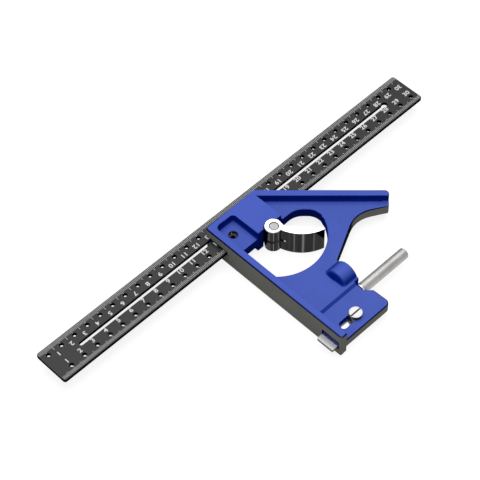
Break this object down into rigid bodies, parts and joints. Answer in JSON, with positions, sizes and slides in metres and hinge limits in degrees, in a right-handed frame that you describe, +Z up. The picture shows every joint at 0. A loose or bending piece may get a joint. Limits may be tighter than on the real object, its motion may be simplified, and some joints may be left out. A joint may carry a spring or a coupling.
{
  "type": "combination square",
  "caption": "Combination square: graduated blade sliding in a head with a fence and a 45 degree face, cam lever lock, scriber and retractable foot.",
  "frame": {"origin": "middle of the fence's flat face, at half the head's thickness", "axes": "+X out of the head along the blade, -X out of the fence face, +Y along the fence towards the blade, +Z up out of the head lying flat"},
  "size_m": [0.3048, 0.1202, 0.019],
  "materials": {
    "head_paint": "satin blue coat",
    "blade_black": "black satin, white graduations",
    "lever_chrome": "polished",
    "pin_steel": "ground",
    "drawbar_steel": "ground",
    "spring_steel": "drawn",
    "scriber_steel": "turned",
    "needle_steel": "ground",
    "bush_steel": "polished",
    "ring_rubber": "matt black",
    "foot_chrome": "polished",
    "screw_chrome": "polished",
    "washer_steel": "ground"
  },
  "bodies": {
    "square_head": {"head": "head_paint", "scriber_bush": "bush_steel", "scriber_ring": "ring_rubber", "drawbar_spring": "spring_steel"},
    "rule": {"blade": "blade_black"},
    "lock_bar": {"drawbar": "drawbar_steel"},
    "lock_lever": {"cam_lever": "lever_chrome", "lever_pin": "pin_steel"},
    "scriber": {"scriber_handle": "scriber_steel", "scriber_point": "needle_steel"},
    "foot": {"support_foot": "foot_chrome", "foot_washer": "washer_steel"},
    "foot_lock": {"foot_screw": "screw_chrome"}
  },
  "joints": [
    {"name": "blade_slide", "type": "slide", "parent": "square_head", "child": "rule", "axis": [1, 0, 0], "range_m": [-0.12, 0.132]},
    {"name": "drawbar_travel", "type": "slide", "parent": "square_head", "child": "lock_bar", "axis": [0, 1, 0], "range_m": [0, 0.00037]},
    {"name": "lever_swing", "type": "hinge", "parent": "lock_bar", "child": "lock_lever", "pos_m": [0.0302, 0.03145, 0], "axis": [0, 0, 1], "range_deg": [-75, 0]},
    {"name": "scriber_pull", "type": "slide", "parent": "square_head", "child": "scriber", "axis": [1, 0, 0], "range_m": [0, 0.03]},
    {"name": "foot_slide", "type": "slide", "parent": "square_head", "child": "foot", "axis": [1, 0, 0], "range_m": [-0.0101, 0]},
    {"name": "foot_screw_turn", "type": "hinge", "parent": "foot", "child": "foot_lock", "pos_m": [0.0214, -0.0447, 0], "axis": [0, 0, 1], "range_deg": [0, 360]}
  ],
  "couplings": [
    {"joint": "lever_swing", "follows": "drawbar_travel", "rad_per_m": -3530}
  ]
}
